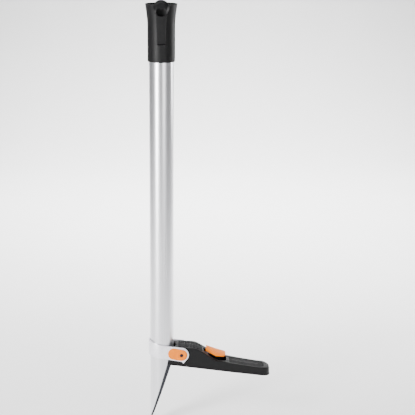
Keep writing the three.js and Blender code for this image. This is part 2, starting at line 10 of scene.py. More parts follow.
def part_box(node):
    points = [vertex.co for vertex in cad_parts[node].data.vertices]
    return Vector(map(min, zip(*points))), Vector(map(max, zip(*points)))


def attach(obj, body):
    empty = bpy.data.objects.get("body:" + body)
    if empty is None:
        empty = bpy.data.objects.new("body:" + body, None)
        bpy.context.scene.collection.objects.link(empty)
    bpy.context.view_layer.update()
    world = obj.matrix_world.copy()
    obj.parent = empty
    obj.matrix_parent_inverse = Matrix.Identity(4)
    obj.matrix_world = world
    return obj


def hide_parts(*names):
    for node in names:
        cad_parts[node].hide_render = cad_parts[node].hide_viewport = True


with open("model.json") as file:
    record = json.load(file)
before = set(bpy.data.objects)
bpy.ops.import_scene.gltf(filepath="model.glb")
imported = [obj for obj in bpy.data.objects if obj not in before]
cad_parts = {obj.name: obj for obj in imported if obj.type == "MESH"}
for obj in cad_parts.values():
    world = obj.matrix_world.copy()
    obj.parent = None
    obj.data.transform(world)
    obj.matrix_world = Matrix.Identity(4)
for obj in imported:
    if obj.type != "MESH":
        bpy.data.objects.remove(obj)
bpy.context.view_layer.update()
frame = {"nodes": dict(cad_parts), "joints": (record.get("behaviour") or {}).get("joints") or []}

# All shapes are worked out in millimetres above the cutting tip, on the tube's axis,
# and then put into the frame: the frame's origin is where the hanging eye bears.
tipDrop = -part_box("tube")[0].z * 1000
hinge = [j for j in frame["joints"] if j["name"] == "pedal_hinge"][0]
slide = [j for j in frame["joints"] if j["name"] == "lock_slide"][0]
pivotX, pivotZ = hinge["pos_m"][0] * 1000, hinge["pos_m"][2] * 1000 + tipDrop
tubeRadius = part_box("tube")[1].x * 1000
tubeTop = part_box("tube")[1].z * 1000 + tipDrop
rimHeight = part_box("grip")[1].z * 1000 + tipDrop
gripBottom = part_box("grip")[0].z * 1000 + tipDrop
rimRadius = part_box("grip")[1].x * 1000
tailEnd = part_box("pedal_shell")[1].x * 1000
strapRadius = -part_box("collar_strap")[0].x * 1000
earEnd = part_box("collar_strap")[1].x * 1000


def hexColour(text):
    # sRGB hex to linear light, with an alpha of one
    values = np.array([int(text[i:i + 2], 16) for i in (1, 3, 5)]) / 255
    linear = np.where(values <= 0.04045, values / 12.92, ((values + 0.055) / 1.055) ** 2.4)
    return (*[float(v) for v in linear], 1.0)


def addNode(tree, kind, settings=None, inputs=None):
    # one node: settings are its properties, inputs are values or (node, output name) links
    node = tree.nodes.new(kind)
    for key, value in (settings or {}).items():
        setattr(node, key, value)
    for key, value in (inputs or {}).items():
        if isinstance(value, tuple) and isinstance(value[0], bpy.types.Node):
            tree.links.new(value[0].outputs[value[1]], node.inputs[key])
        else:
            node.inputs[key].default_value = value
    return node


def smoothStep(low, high, x):
    # rises from 0 at low to 1 at high along a cubic with flat ends
    t = np.clip((x - low) / (high - low), 0, 1)
    return t * t * (3 - 2 * t)


def splineHeights(points, perSpan=12):
    # a curve through the points whose slope at each is that of the chord between its neighbours
    p = np.array(points, float)
    padded = np.vstack([2 * p[0] - p[1], p, 2 * p[-1] - p[-2]])
    t = np.linspace(0, 1, perSpan, endpoint=False)[None, :, None]
    a, b, c, d = (padded[i:len(padded) - 3 + i, None, :] for i in range(4))
    curve = 0.5 * (2 * b + (c - a) * t + (2 * a - 5 * b + 4 * c - d) * t ** 2
                   + (3 * b - a - 3 * c + d) * t ** 3)
    return np.vstack([curve.reshape(-1, 2), p[-1:]])


def gridFaces(rows, cols, closeRows, closeCols):
    # quads between neighbouring rows and columns of a grid of points
    i, j = np.meshgrid(np.arange(rows if closeRows else rows - 1),
                       np.arange(cols if closeCols else cols - 1), indexing="ij")
    down, across = (i + 1) % rows, (j + 1) % cols
    return np.stack([i * cols + j, i * cols + across, down * cols + across, down * cols + j],
                    axis=-1).reshape(-1, 4)


def surfaceMesh(name, grid, closeRows=False, closeCols=True):
    # a grid of points in mm becomes one mesh in the frame, its seams and poles merged, faces out
    rows, cols = grid.shape[:2]
    points = (grid.reshape(-1, 3) - np.array([0, 0, tipDrop])) / 1000
    mesh = bpy.data.meshes.new(name)
    mesh.from_pydata(points.tolist(), [], gridFaces(rows, cols, closeRows, closeCols).tolist())
    work = bmesh.new()
    work.from_mesh(mesh)
    bmesh.ops.remove_doubles(work, verts=work.verts, dist=2e-6)
    bmesh.ops.dissolve_degenerate(work, edges=work.edges, dist=1e-7)
    bmesh.ops.recalc_face_normals(work, faces=work.faces)
    if work.calc_volume(signed=True) < 0:
        bmesh.ops.reverse_faces(work, faces=work.faces)
    work.to_mesh(mesh)
    work.free()
    return mesh


def newPiece(name, grid, closeRows=False, closeCols=True):
    piece = bpy.data.objects.new(name, surfaceMesh(name, grid, closeRows, closeCols))
    bpy.context.scene.collection.objects.link(piece)
    return piece


def bake(piece):
    # the piece's modifiers are worked into its mesh
    bpy.context.view_layer.update()
    shaped = piece.evaluated_get(bpy.context.evaluated_depsgraph_get())
    mesh = bpy.data.meshes.new_from_object(shaped)
    piece.modifiers.clear()
    piece.data = mesh


def combine(piece, tools, operation):
    # joins, cuts or keeps the piece against closed tool shapes, which are then removed
    for tool in tools:
        step = piece.modifiers.new(operation.lower(), "BOOLEAN")
        step.operation = operation
        step.solver = "EXACT"
        step.object = tool
        bake(piece)
        bpy.data.objects.remove(tool)


def finishPiece(piece, body, material, nodes, smoothAngle=38):
    # shading, finish, and the body and CAD nodes that the piece belongs to
    piece.data.materials.clear()
    piece.data.materials.append(material)
    piece.data.shade_smooth()
    piece.data.set_sharp_from_angle(angle=math.radians(smoothAngle))
    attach(piece, body)
    if nodes:
        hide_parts(*nodes)
    return piece


def newFinish(name):
    material = bpy.data.materials.new(name)
    material.use_nodes = True
    tree = material.node_tree
    shader = tree.nodes["Principled BSDF"]
    place = addNode(tree, "ShaderNodeTexCoord")
    return material, tree, shader, place


def grainBump(tree, shader, place, grainMm, strength, depthMm, stretch=(1, 1, 1)):
    # noise whose grains are grainMm across, stretched along the frame's axes, pushed in as relief
    scale = [1000 / grainMm * s for s in stretch]
    spread = addNode(tree, "ShaderNodeMapping", inputs={"Vector": (place, "Object"), "Scale": scale})
    noise = addNode(tree, "ShaderNodeTexNoise", inputs={"Vector": (spread, "Vector"), "Scale": 1.0,
                                                        "Detail": 3.0, "Roughness": 0.55})
    bump = addNode(tree, "ShaderNodeBump", inputs={"Height": (noise, "Fac"), "Strength": strength,
                                                   "Distance": depthMm / 1000})
    tree.links.new(bump.outputs["Normal"], shader.inputs["Normal"])
    return noise


def mottle(tree, shader, place, dark, light, sizeMm, stretch=(1, 1, 1)):
    # the base colour drifts between two close tones over patches of sizeMm
    scale = [1000 / sizeMm * s for s in stretch]
    spread = addNode(tree, "ShaderNodeMapping", inputs={"Vector": (place, "Object"), "Scale": scale})
    noise = addNode(tree, "ShaderNodeTexNoise", inputs={"Vector": (spread, "Vector"), "Scale": 1.0,
                                                        "Detail": 4.0})
    ramp = addNode(tree, "ShaderNodeValToRGB", inputs={"Fac": (noise, "Fac")})
    ramp.color_ramp.elements[0].position = 0.35
    ramp.color_ramp.elements[1].position = 0.65
    ramp.color_ramp.elements[0].color = hexColour(dark)
    ramp.color_ramp.elements[1].color = hexColour(light)
    tree.links.new(ramp.outputs["Color"], shader.inputs["Base Color"])
    return noise


def roughnessRange(tree, shader, noise, low, high):
    spread = addNode(tree, "ShaderNodeMapRange", inputs={"Value": (noise, "Fac"), "From Min": 0.3,
                                                         "From Max": 0.7, "To Min": low, "To Max": high})
    tree.links.new(spread.outputs["Result"], shader.inputs["Roughness"])


anodisedTube = {"dark": "#e2e2e6", "light": "#ececef", "roughness": (0.27, 0.33), "dieLineMm": 0.9}


def satinAnodisedAluminium():
    # drawn aluminium tube, etched and clear anodised: a broad soft sheen with faint lines along it
    material, tree, shader, place = newFinish("satin_anodised_aluminium")
    look = anodisedTube
    along = (1, 1, 0.012)
    noise = mottle(tree, shader, place, look["dark"], look["light"], 3.0, along)
    roughnessRange(tree, shader, noise, *look["roughness"])
    grainBump(tree, shader, place, look["dieLineMm"], 0.10, 0.02, along)
    shader.inputs["Metallic"].default_value = 1.0
    return material


silverCoat = {"dark": "#eae9ef", "light": "#f3f2f7", "peelMm": 1.6}


def silverPowderCoat():
    # steel strip with a silver powder coat: pale, softly mirrored, with a faint orange peel
    material, tree, shader, place = newFinish("silver_powder_coated_steel")
    noise = mottle(tree, shader, place, silverCoat["dark"], silverCoat["light"], 6.0)
    roughnessRange(tree, shader, noise, 0.36, 0.46)
    grainBump(tree, shader, place, silverCoat["peelMm"], 0.12, 0.05)
    shader.inputs["Metallic"].default_value = 0.55
    return material


blackMoulding = {"dark": "#09090a", "light": "#0d0d0e", "sparkMm": 0.55}


def sparkTexturedNylon():
    # glass-filled nylon from a spark-eroded mould: near black, with a fine even grain that softens its sheen
    material, tree, shader, place = newFinish("spark_textured_black_nylon")
    noise = mottle(tree, shader, place, blackMoulding["dark"], blackMoulding["light"], 9.0)
    roughnessRange(tree, shader, noise, 0.44, 0.52)
    grainBump(tree, shader, place, blackMoulding["sparkMm"], 0.15, 0.05)
    shader.inputs["IOR"].default_value = 1.53
    shader.inputs["Specular IOR Level"].default_value = 0.19
    return material


orangeMoulding = {"dark": "#e07400", "light": "#e87c00", "grainMm": 0.7}


def satinOrangeNylon():
    # coloured nylon from a lightly blasted mould: warm orange with a soft even gloss
    material, tree, shader, place = newFinish("satin_orange_nylon")
    noise = mottle(tree, shader, place, orangeMoulding["dark"], orangeMoulding["light"], 7.0)
    roughnessRange(tree, shader, noise, 0.42, 0.52)
    grainBump(tree, shader, place, orangeMoulding["grainMm"], 0.10, 0.03)
    shader.inputs["IOR"].default_value = 1.53
    shader.inputs["Specular IOR Level"].default_value = 0.16
    shader.inputs["Subsurface Weight"].default_value = 0.05
    shader.inputs["Subsurface Radius"].default_value = (0.004, 0.002, 0.001)
    return material


softTread = {"dark": "#09090a", "light": "#0d0d0f", "grainMm": 0.8}


def mouldedTreadRubber():
    # thermoplastic rubber over-moulding: dark grey, matt, with a fine grain
    material, tree, shader, place = newFinish("moulded_tread_rubber")
    noise = mottle(tree, shader, place, softTread["dark"], softTread["light"], 5.0)
    roughnessRange(tree, shader, noise, 0.62, 0.78)
    grainBump(tree, shader, place, softTread["grainMm"], 0.14, 0.06)
    shader.inputs["IOR"].default_value = 1.52
    shader.inputs["Specular IOR Level"].default_value = 0.16
    return material


# the jaw's steel colour is painted dark: painted shade and painted dark reflection, not the steel's own tone
jawPaintedShade = {"dark": "#333438", "light": "#434448", "lineMm": 0.5}


def brushedPressedSteel():
    # cold-pressed stainless sheet with fine brushed lines along the slope; its grey is painted far darker
    # than the steel's own tone, as painted shade and painted dark reflection
    material, tree, shader, place = newFinish("brushed_pressed_steel")
    along = (1, 1, 0.05)
    noise = mottle(tree, shader, place, jawPaintedShade["dark"], jawPaintedShade["light"], 2.5, along)
    roughnessRange(tree, shader, noise, 0.30, 0.44)
    grainBump(tree, shader, place, jawPaintedShade["lineMm"], 0.18, 0.03, along)
    shader.inputs["Metallic"].default_value = 1.0
    return material


def blackZincSteel():
    # turned and headed steel with a black zinc plate: dark, smooth, a little warm in the light
    material, tree, shader, place = newFinish("black_zinc_steel")
    noise = mottle(tree, shader, place, "#2a2a2c", "#38373a", 1.8)
    roughnessRange(tree, shader, noise, 0.28, 0.42)
    grainBump(tree, shader, place, 0.4, 0.08, 0.02)
    shader.inputs["Metallic"].default_value = 0.9
    return material


def naturalNylon():
    # unfilled bearing nylon: milky off-white, waxy
    material, tree, shader, place = newFinish("natural_bearing_nylon")
    noise = mottle(tree, shader, place, "#cfcabc", "#dcd8cb", 4.0)
    roughnessRange(tree, shader, noise, 0.40, 0.52)
    grainBump(tree, shader, place, 0.6, 0.08, 0.02)
    shader.inputs["IOR"].default_value = 1.53
    shader.inputs["Subsurface Weight"].default_value = 0.1
    shader.inputs["Subsurface Radius"].default_value = (0.003, 0.003, 0.002)
    return material


aluminium = satinAnodisedAluminium()
silver = silverPowderCoat()
nylon = sparkTexturedNylon()
orange = satinOrangeNylon()
rubber = mouldedTreadRubber()
steel = brushedPressedSteel()
zinc = blackZincSteel()
bearing = naturalNylon()
print("finishes made")


tube = {"wall": 1.8, "around": 288, "slope": 3.45, "land": 0.4, "shoulder": 166, "edge": 0.35}


def cutHeight(x):
    # the slanted cut climbs from the tip, and ends in a level shoulder
    return np.clip(tube["slope"] * (x + tubeRadius - tube["land"]), 0, tube["shoulder"])


def makeTube():
    # a ring profile carried round the axis; its lower end follows the cut at each angle
    angle = np.linspace(0, 2 * np.pi, tube["around"], endpoint=False)
    inner = tubeRadius - tube["wall"]
    edge = tube["edge"]
    radii = [inner + edge, tubeRadius - edge, tubeRadius, tubeRadius, tubeRadius,
             tubeRadius - edge, inner + edge, inner, inner, inner]
    lift = [0, 0, edge, None, -edge, 0, 0, -edge, None, edge]
    rows = []
    for k, radius in enumerate(radii):
        x, y = radius * np.cos(angle), radius * np.sin(angle)
        if k in (0, 1, 2, 9):
            z = cutHeight(x) + lift[k]
        elif lift[k] is None:
            z = np.full_like(x, tube["shoulder"] + 40)
        else:
            z = np.full_like(x, tubeTop + lift[k])
        rows.append(np.stack([x, y, z], axis=-1))
    return newPiece("tube_drawn", np.stack(rows), closeRows=True)


finishPiece(makeTube(), "tube_body", aluminium, ["tube"], 30)
print("tube made")


grip = {"radius": 33.6, "bore": 30.3, "around": 224, "funnel": 36.6, "lip": 28.4, "flare": 1009,
        "rounding": 2.6}
eye = {"height": 1053.0, "face": 13.2, "front": 46.5, "edgeFront": 36.5, "back": 33.0, "lean": 0.24,
       "holeHeight": 1042.9, "across": 12.6, "up": 11.2, "tongue": 4.4, "heart": 1045.0, "flare": 1.0,
       "border": 2.6, "blend": (1036, 1044), "around": 160}
eye["base"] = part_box("hang_eye")[1].z * 1000 + tipDrop - eye["height"]
panel = {"low": 963.0, "high": 1042.0, "lowHalf": 9.5, "highHalf": 12.7, "proud": 0.9,
         "ledge": 963.4, "dipLow": 967.0, "dipHigh": 976.5, "dip": 3.0, "bow": 0.0055,
         "behind": 30.9}


def flareRadius(z):
    # straight below, then an easing flare out to the rim
    t = np.clip((z - grip["flare"]) / (rimHeight - grip["flare"]), 0, 1)
    return grip["radius"] + (rimRadius - grip["radius"]) * t ** 1.45


def funnelRadius(z):
    # the inside of the mouth: a cone that opens from the tube's bore to the rim
    t = np.clip((z - tubeTop - 3) / (rimHeight - tubeTop - 4), 0, 1)
    return grip["lip"] + (grip["funnel"] - grip["lip"]) * t ** 0.85


def makeGripWall():
    # a wall profile of radius and height turned about the axis: x = r cos a, y = r sin a
    low, rounding = gripBottom, grip["rounding"]
    turn = np.linspace(0, np.pi / 2, 7)
    corner = [(grip["radius"] - rounding + rounding * np.sin(a), low + rounding - rounding * np.cos(a))
              for a in turn]
    wall = [(grip["radius"], z) for z in np.linspace(low + 8, grip["flare"], 12)]
    flare = [(float(flareRadius(z)), z) for z in np.linspace(grip["flare"] + 2, rimHeight - 1.2, 30)]
    rim = [(rimRadius, rimHeight - 0.8), (rimRadius - 0.15, rimHeight - 0.2), (rimRadius - 0.5, rimHeight),
           (rimRadius - 1.4, rimHeight), (rimRadius - 1.9, rimHeight - 0.3),
           (grip["funnel"] + 0.3, rimHeight - 1.1)]
    cone = [(float(funnelRadius(z)), z) for z in np.linspace(rimHeight - 2, tubeTop + 3.2, 20)]
    inside = [(grip["lip"], tubeTop + 2), (grip["lip"], tubeTop + 0.3), (grip["bore"], tubeTop + 0.3),
              (grip["bore"], tubeTop - 2), (grip["bore"], low + 1), (grip["bore"] + 0.4, low)]
    profile = np.array(corner + wall + flare + rim + cone + inside)
    angle = np.linspace(0, 2 * np.pi, grip["around"], endpoint=False)
    grid = np.stack([profile[:, :1] * np.cos(angle), profile[:, :1] * np.sin(angle),
                     np.repeat(profile[:, 1:], len(angle), axis=1)], axis=-1)
    return newPiece("grip_moulded", grid, closeRows=True)


def curvedSlab(name, halfLow, halfHigh, low, high, inner, outer, rounding, bow):
    # a tapering strip, hollow behind like the grip and bowed in front by a parabola: across it, then along it
    across = np.linspace(-1, 1, 41)
    height = np.concatenate([low + rounding * (1 - np.cos(np.linspace(0, np.pi / 2, 6))),
                             np.linspace(low + rounding + 0.4, high, 120)])
    half = halfLow + (halfHigh - halfLow) * (height - low) / (high - low)
    endPull = np.clip((height - low) / rounding, 0, 1)
    half = half - rounding * (1 - np.sqrt(1 - (1 - endPull) ** 2))
    x = half[:, None] * across[None, :]
    z = np.repeat(height[:, None], len(across), axis=1)
    fromEdge = np.minimum(half[:, None] - np.abs(x), (height - low)[:, None])
    drop = 0.8 * (1 - np.sqrt(1 - (1 - np.clip(fromEdge / 0.8, 0, 1)) ** 2))
    top = outer(z) - drop
    bottom = inner(z)
    front = np.stack([x, x ** 2 * bow - top, z], axis=-1)
    rear = np.stack([x, -np.sqrt(np.maximum(bottom ** 2 - x ** 2, 1)), z], axis=-1)
    loops = np.concatenate([front, rear[:, ::-1]], axis=1)
    lowEnd = loops[:1].copy()
    lowEnd[0, :] = (loops[0] + loops[0][::-1]) / 2
    highEnd = loops[-1:].copy()
    highEnd[0, :] = (loops[-1] + loops[-1][::-1]) / 2
    return newPiece(name, np.concatenate([lowEnd, loops, highEnd]))


def panelOuter(z):
    # stands proud of the grip, with a thumb dip and a small ledge at its lower end
    over = smoothStep(panel["ledge"], panel["dipLow"], z)
    under = 1 - smoothStep(panel["dipLow"] + 1, panel["dipHigh"], z)
    return flareRadius(z) + panel["proud"] - panel["dip"] * over * under


def fromHeart(angle, radius):
    # a point at an angle and distance from the middle of the hole's wide part, as across and height
    return radius * np.cos(angle), eye["heart"] + radius * np.sin(angle)


def holeReach(angle, grow):
    # from a point a little over the hole's middle out to its oval: the larger root of a r^2 + b r + c = 0
    wide, high, over = eye["across"] + grow, eye["up"] + grow, eye["heart"] - eye["holeHeight"]
    a = (np.cos(angle) / wide) ** 2 + (np.sin(angle) / high) ** 2
    b = 2 * over * np.sin(angle) / high ** 2
    c = (over / high) ** 2 - 1
    return (np.sqrt(b ** 2 - 4 * a * c) - b) / (2 * a)


def eyeHoleLoop(angle, grow=0.0, tongue=0.0):
    # an oval with a small rounded tongue hanging from its top, so that it is heart-shaped
    bend = np.exp(-((angle - np.pi / 2) / 0.42) ** 2)
    return fromHeart(angle, holeReach(angle, grow) - tongue * bend)


def bossOutline(angle):
    # a circle seen from the same point, d sin(angle) + root of (R^2 - (d cos(angle))^2),
    # or a border round the hole where that is wider
    drop = eye["height"] - eye["heart"]
    circle = drop * np.sin(angle) + np.sqrt(eye["base"] ** 2 - (drop * np.cos(angle)) ** 2)
    border = holeReach(angle, eye["border"])
    return fromHeart(angle, np.maximum(circle, border))


def bossFront(x, z):
    # a leaning round face with a slanted side all round, softened where they meet:
    # half of the slant's depth and of the root of its square plus a little is never less than nought
    far = np.hypot(x, z - eye["height"])
    lean = eye["lean"] * np.maximum(z - eye["holeHeight"] - 5, 0) ** 1.15
    side = (eye["front"] - eye["edgeFront"]) / (eye["base"] - eye["face"]) * (far - eye["face"])
    soft = 0.5 * (side + np.sqrt(side ** 2 + 1.6))
    face = -(eye["front"] - soft - lean * (1 - smoothStep(eye["face"], eye["base"], far)))
    # below the hole it comes forward to stand just over the panel
    low = 1 - smoothStep(*eye["blend"], z)
    return face + low * (np.minimum(face, x ** 2 * panel["bow"] - panelOuter(z) - 0.25) - face)


def bossBack(x, z):
    # follows the funnel's inside, so that the mouth stays clear
    reach = np.where(z > rimHeight - 1, grip["funnel"], funnelRadius(z))
    return -np.maximum(np.sqrt(np.maximum(reach ** 2 - x ** 2, 0)), eye["back"])


def makeBoss():
    # loops run from the hole's edge out over the face, down the side, and back inside
    angle = np.linspace(0, 2 * np.pi, eye["around"], endpoint=False)
    holeX, holeZ = eyeHoleLoop(angle, 0, eye["tongue"])
    outX, outZ = bossOutline(angle)
    rows = []
    for t in np.concatenate([[0, 0.03, 0.07], np.linspace(0.12, 1, 26)]):
        x, z = holeX + (outX - holeX) * t, holeZ + (outZ - holeZ) * t
        rows.append(np.stack([x, bossFront(x, z) + 0.7 * max(0, 1 - t / 0.07) ** 2, z], axis=-1))
    backX, backZ = eyeHoleLoop(angle, eye["flare"])
    for t in np.linspace(1, 0, 9):
        x, z = backX + (outX - backX) * t, backZ + (outZ - backZ) * t
        rows.append(np.stack([x, bossBack(x, z), z], axis=-1))
    return newPiece("hang_eye_moulded", np.stack(rows), closeRows=True)


def roundRod(name, radiusX, radiusZ, centreZ, near, far, count=96):
    # an oval rod along Y
    angle = np.linspace(0, 2 * np.pi, count, endpoint=False)
    x, z = radiusX * np.cos(angle), radiusZ * np.sin(angle)
    rows = [np.stack([s * x, np.full(count, y), centreZ + s * z], axis=-1)
            for s, y in ((0, near), (1, near), (1, far), (0, far))]
    return newPiece(name, np.stack(rows))


def makeGripAndEye():
    # the wall has a seat for the boss and panel with a fine gap all round, and is cut through behind the hole
    gap, front, behind = 0.3, -70, -20
    wall = makeGripWall()
    seat = curvedSlab("seat", panel["lowHalf"] + gap, panel["highHalf"] + gap, panel["low"] - gap,
                      panel["high"], lambda z: 0 * z + panel["behind"] - gap,
                      lambda z: 0 * z + 50, 1.6, 0.002)
    seatRadius = eye["base"] + gap
    bossSeat = roundRod("bossSeat", seatRadius, seatRadius, eye["height"], front, gap - eye["back"])
    around = eye["border"] + gap
    hole = roundRod("hole", eye["across"] + around, eye["up"] + around, eye["holeHeight"], front, behind)
    combine(wall, [seat, bossSeat, hole], "DIFFERENCE")
    finishPiece(wall, "tube_body", nylon, ["grip"], 34)
    boss = makeBoss()
    strip = curvedSlab("strip", panel["lowHalf"], panel["highHalf"], panel["low"], panel["high"],
                       lambda z: 0 * z + panel["behind"], panelOuter, 1.3, panel["bow"])
    hole = roundRod("stripHole", eye["across"] + 0.6, eye["up"] + 0.6, eye["holeHeight"], front, behind)
    combine(strip, [hole], "DIFFERENCE")
    combine(boss, [strip], "UNION")
    finishPiece(boss, "tube_body", nylon, ["hang_eye"], 34)


makeGripAndEye()
print("grip and hanging eye made")


strap = {"wall": 4.0, "ear": 18.5, "corner": 0.9, "stopEnd": 61.9,
         "top": [(-36, 211.2), (-18, 206.4), (0, 202), (20, 198.4), (50, 194.5)],
         "bottom": [(-36, 171.2), (0, 166), (18, 163.2), (48.5, 158.2), (51.5, 157.4), (54.6, 152.6),
                    (61.9, 161.83)]}


def strapHeights(x):
    # straight falling edges, closed by the ear's round end, with a pointed stop below it
    arc = np.sqrt(np.maximum(strap["ear"] ** 2 - (x - pivotX) ** 2, 0))
    top = np.where(x > pivotX, pivotZ + arc, np.interp(x, *np.array(strap["top"]).T))
    bottom = np.where(x > strap["stopEnd"], pivotZ - arc, np.interp(x, *np.array(strap["bottom"]).T))
    return top, bottom


def makeStrap():
    # a rounded strip section carried along a U: one ear, round the back of the tube, the other ear
    middle = strapRadius - strap["wall"] / 2
    end = pivotX + strap["ear"] * np.sin(np.linspace(np.pi / 2, 0, 26))
    leg = np.concatenate([end, np.linspace(49.5, 30, 12), np.linspace(28, 1, 14)])
    stop = np.linspace(51, 62, 23)
    leg = np.unique(np.concatenate([leg, stop]))[::-1]
    back = np.linspace(-np.pi / 2, -1.5 * np.pi, 97)
    x = np.concatenate([leg, middle * np.cos(back), leg[::-1]])
    y = np.concatenate([0 * leg - middle, middle * np.sin(back), 0 * leg + middle])
    normal = np.stack([np.where(x < 0, np.cos(np.arctan2(y, x)), 0), np.where(x < 0, y / middle, np.sign(y))])
    top, bottom = strapHeights(np.minimum(x, earEnd - 1e-4))
    half = strap["wall"] / 2
    turn = np.linspace(0, np.pi / 2, 5)
    quarter = np.stack([np.cos(turn), np.sin(turn)])
    corner = np.minimum(strap["corner"], (top - bottom) / 2 * 0.98)
    section = []
    for outward, upward in ((1, 1), (-1, 1), (-1, -1), (1, -1)):
        steps = range(5) if outward * upward > 0 else range(4, -1, -1)
        for k in steps:
            depth = outward * (half - corner + corner * quarter[0][k])
            edge = top if upward > 0 else bottom
            z = edge - upward * (corner - corner * quarter[1][k])
            section.append(np.stack([x + normal[0] * depth, y + normal[1] * depth, z], axis=-1))
    grid = np.stack(section, axis=1)
    closing = (grid[:, :, :] + grid[:, ::-1, :])[[0, -1]] / 2
    return newPiece("collar_strap_bent", np.concatenate([closing[:1], grid, closing[1:]]))


finishPiece(makeStrap(), "tube_body", silver, ["collar_strap"], 40)
print("collar strap made")


cover = {"x": 30.3, "z": 179.5, "half": 14.7, "boss": 12.6, "hole": 4.6, "rise": 2.5, "bossRise": 1.1,
         "around": 192}


def stadium(half):
    # two half circles joined by straight sides, with points all the way round
    lean = math.atan2(cover["z"] - pivotZ, pivotX - cover["x"])
    count = cover["around"] // 4
    side = np.linspace(0, 1, count, endpoint=False)
    arc = np.linspace(-np.pi / 2, np.pi / 2, 2 * count, endpoint=False) - lean
    first = np.stack([pivotX + half * np.cos(arc), pivotZ + half * np.sin(arc)], axis=-1)
    second = np.stack([cover["x"] - half * np.cos(arc), cover["z"] - half * np.sin(arc)], axis=-1)
    offset = half * np.array([math.sin(lean), math.cos(lean)])
    near, far = np.array([pivotX, pivotZ]), np.array([cover["x"], cover["z"]])
    above = near + offset + (far - near) * side[:, None]
    below = far - offset + (near - far) * side[:, None]
    return np.concatenate([first, above, second, below]).T


def makeCover(side, name, node):
    # loops run from the hole, over the boss, across the plate to its rounded edge, and back behind
    back = strapRadius + 0.3
    flat = back + cover["rise"]
    crest = flat + cover["bossRise"]
    outA, outB = stadium(cover["half"])
    turn = np.arctan2(outB - pivotZ, outA - pivotX)

    def ring(radius, height):
        return np.stack([pivotX + radius * np.cos(turn), np.full_like(turn, side * height),
                         pivotZ + radius * np.sin(turn)], axis=-1)

    def edge(inset, height):
        a, b = stadium(cover["half"] - inset)
        return np.stack([a, np.full_like(a, side * height), b], axis=-1)

    hole, boss = cover["hole"], cover["boss"]
    rows = [ring(hole, back), ring(hole, crest - 0.5), ring(hole + 0.15, crest - 0.15),
            ring(hole + 0.5, crest), ring(boss - 1.1, crest), ring(boss - 0.6, crest - 0.12),
            ring(boss - 0.2, crest - 0.5), ring(boss, flat + 0.1)]
    rows += [edge(1.2, flat), edge(0.8, flat - 0.05), edge(0.4, flat - 0.25), edge(0.12, flat - 0.6),
             edge(0, flat - 1.1), edge(0, back)]
    piece = newPiece(name, np.stack(rows), closeRows=True)
    finishPiece(piece, "tube_body", orange, [node], 40)


makeCover(-1, "pivot_cap_near", "pivot_cover_near")
makeCover(1, "pivot_cap_far", "pivot_cover_far")
print("pivot covers made")


pedal = {"half": 29.0, "tailHalf": 27.0, "corner": 21.0, "front": 35.0, "wall": 2.6, "round": 3.2,
         "seam": 3.4,
         "crown": [(33, 193.2), (50, 194), (66, 193.4), (86, 191), (109, 178.5), (126, 166.3), (143, 158),
                   (158, 155.6), (187, 149.1), (238, 140.2), (262, 137.2), (279, 133.5)],
         "sole": [(19.2, 147.8), (74, 140.6), (281, 113.483)]}
crownCurve = splineHeights(pedal["crown"])


def crownHeight(x):
    return np.interp(x, crownCurve[:, 0], crownCurve[:, 1])


def soleHeight(x):
    return np.interp(x, *np.array(pedal["sole"]).T)


def outwardNormals(loop):
    # the chord between a point's neighbours, turned a quarter outwards
    along = np.roll(loop, -1, axis=0) - np.roll(loop, 1, axis=0)
    along /= np.linalg.norm(along, axis=1, keepdims=True)
    return np.stack([along[:, 1], -along[:, 0]], axis=-1)


def closedLoop(half):
    # half an outline, from front to tail on the near side, and its mirror image back again
    return np.concatenate([half, (half * [1, -1])[-2:0:-1]])


def pedalLoop(inset=0.0, flatFront=None):
    # hollow front round the tube, long sides, a slight taper, and a round-cornered tail
    side, tail = pedal["half"] - inset, pedal["tailHalf"] - inset
    corner, end = pedal["corner"] - inset, tailEnd - inset
    tip = max(0.9 - inset, 0.3)
    if flatFront is None:
        reach = pedal["front"] + inset
        tipX = math.sqrt((reach + tip) ** 2 - (side - tip) ** 2)
        lean = math.atan2(side - tip, tipX)
        turn = np.linspace(0, -lean, 15)
        nose = np.stack([reach * np.cos(turn), reach * np.sin(turn)], axis=-1)
        turn = np.linspace(np.pi - lean, 1.5 * np.pi, 7)
    else:
        tipX = flatFront + inset + tip
        nose = np.stack([np.full(15, tipX - tip), np.linspace(0, tip - side, 15)], axis=-1)
        turn = np.linspace(np.pi, 1.5 * np.pi, 7)
    point = np.stack([tipX + tip * np.cos(turn), tip - side + tip * np.sin(turn)], axis=-1)
    sideX = np.linspace(tipX, end - corner, 180)[1:-1]
    sideY = -np.interp(sideX, [tipX, 185, end - corner], [side, side, tail])
    turn = np.linspace(-np.pi / 2, 0, 25)
    bend = np.stack([end - corner + corner * np.cos(turn), corner - tail + corner * np.sin(turn)], axis=-1)
    flat = np.stack([np.full(5, end), np.linspace(corner - tail, 0, 6)[1:]], axis=-1)
    return closedLoop(np.concatenate([nose, point[1:], np.stack([sideX, sideY], axis=-1), bend, flat]))


def plateLoops(loopAt, profile, low, high, spine):
    # each row is the outline at an inset, drawn towards a spine line, at a level between two heights
    rows = []
    for inset, draw, level, lift in profile:
        flat = loopAt(inset)
        middle = np.stack([np.clip(flat[:, 0], *spine), 0 * flat[:, 0]], axis=-1)
        flat = flat + (middle - flat) * draw
        z = low(flat[:, 0]) * (1 - level) + high(flat[:, 0]) * level + lift
        rows.append(np.column_stack([flat, z]))
    return np.stack(rows)


def roundOver(radius):
    # profile rows of a quarter round at the outline's upper edge
    turn = np.linspace(0, np.pi / 2, 6)
    return [(radius * (1 - math.cos(a)), 0, 1, -radius * (1 - math.sin(a))) for a in turn]


def noseShift(grid):
    # below the strap the front runs forward along the slanted cut
    x, z = grid[..., 0], grid[..., 2]
    grid[..., 0] = x - np.clip(164.6 - z, 0, 20) * 0.27 * (1 - smoothStep(22, 46, x))
    return grid


